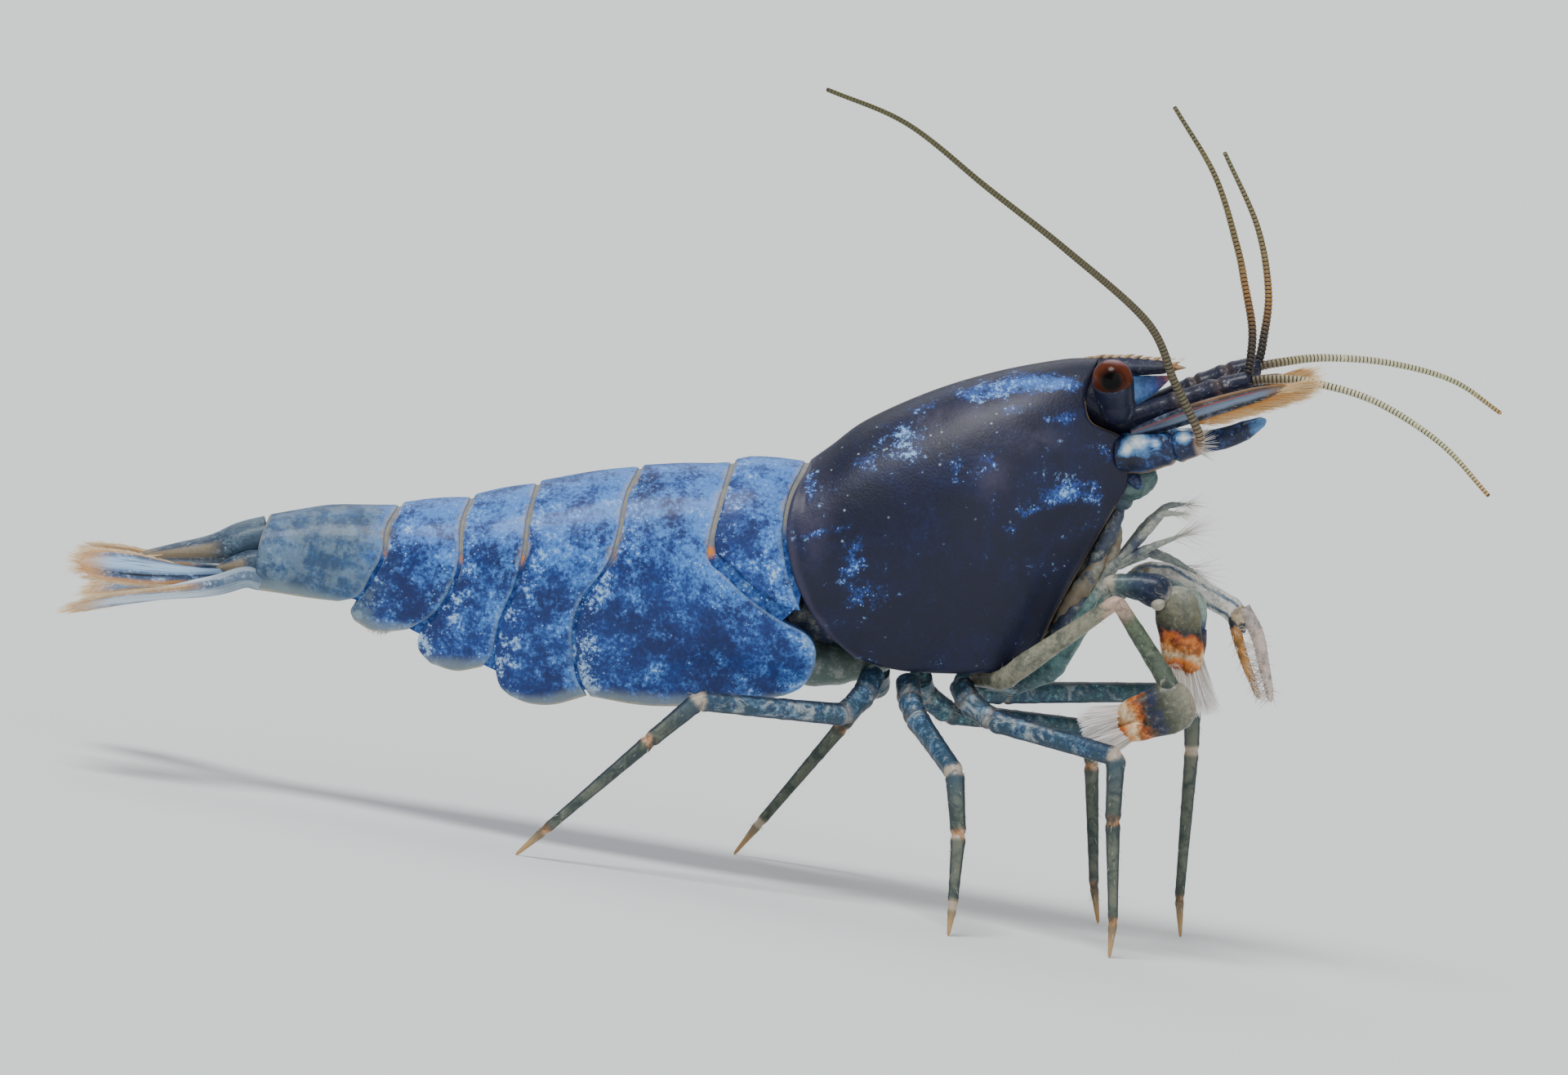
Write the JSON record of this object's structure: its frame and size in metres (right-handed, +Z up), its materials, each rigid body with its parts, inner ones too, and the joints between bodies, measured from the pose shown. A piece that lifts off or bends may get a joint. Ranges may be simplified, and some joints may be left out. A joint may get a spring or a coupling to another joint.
{
  "type": "blue bolt shrimp",
  "caption": "Life-size still model of a blue dwarf shrimp standing on its walking legs, with raised feelers, folded claws and a straight tail.",
  "frame": {"origin": "on the floor under the middle of the bounding box", "axes": "+X towards the head, -Y the animal's right side, +Z up; the feet rest on Z = 0"},
  "size_m": [0.0343, 0.0192, 0.0205],
  "materials": {
    "navy_shell": "glossy near-black navy shell with blue speckles",
    "blue_shell": "satin sky blue to deep blue shell with pale speckles",
    "smoky_flesh": "smoky translucent grey-brown flesh",
    "teal_limb": "blue-green limb with pale marbling and amber joints",
    "claw_shell": "grey-green and amber claw with cream bristles",
    "olive_feeler": "olive feeler with cream rings",
    "navy_stalk": "near-black navy stalk",
    "amber_fringe": "blue blade with an amber bristle fringe",
    "ruby_eye": "polished red-brown eye with a dark centre"
  },
  "bodies": {
    "root": {"carapace": "navy_shell", "abdomen_1": "blue_shell", "abdomen_2": "blue_shell", "abdomen_3": "blue_shell", "abdomen_4": "blue_shell", "abdomen_5": "blue_shell", "abdomen_6": "blue_shell", "telson": "blue_shell", "mouthparts": "smoky_flesh", "thorax_underside": "smoky_flesh", "pleopod_1_right": "smoky_flesh", "pleopod_1_left": "smoky_flesh", "pleopod_2_right": "smoky_flesh", "pleopod_2_left": "smoky_flesh", "pleopod_3_right": "smoky_flesh", "pleopod_3_left": "smoky_flesh", "pleopod_4_right": "smoky_flesh", "pleopod_4_left": "smoky_flesh", "pleopod_5_right": "smoky_flesh", "pleopod_5_left": "smoky_flesh", "maxilliped_right": "smoky_flesh", "maxilliped_left": "smoky_flesh", "walking_leg_3_right": "teal_limb", "walking_leg_3_left": "teal_limb", "walking_leg_4_right": "teal_limb", "walking_leg_4_left": "teal_limb", "walking_leg_5_right": "teal_limb", "walking_leg_5_left": "teal_limb", "cheliped_1_right": "claw_shell", "cheliped_1_left": "claw_shell", "cheliped_2_right": "claw_shell", "cheliped_2_left": "claw_shell", "antennule_flagellum_upper_right": "olive_feeler", "antennule_flagellum_upper_left": "olive_feeler", "antennule_flagellum_lower_right": "olive_feeler", "antennule_flagellum_lower_left": "olive_feeler", "antenna_flagellum_right": "olive_feeler", "antenna_flagellum_left": "olive_feeler", "antennule_peduncle_right": "navy_stalk", "antennule_peduncle_left": "navy_stalk", "antenna_peduncle_right": "navy_stalk", "antenna_peduncle_left": "navy_stalk", "eyestalk_right": "navy_stalk", "eyestalk_left": "navy_stalk", "antennal_scale_right": "amber_fringe", "antennal_scale_left": "amber_fringe", "uropod_endopod_right": "amber_fringe", "uropod_endopod_left": "amber_fringe", "uropod_exopod_right": "amber_fringe", "uropod_exopod_left": "amber_fringe", "eye_right": "ruby_eye", "eye_left": "ruby_eye"}
  },
  "joints": []
}
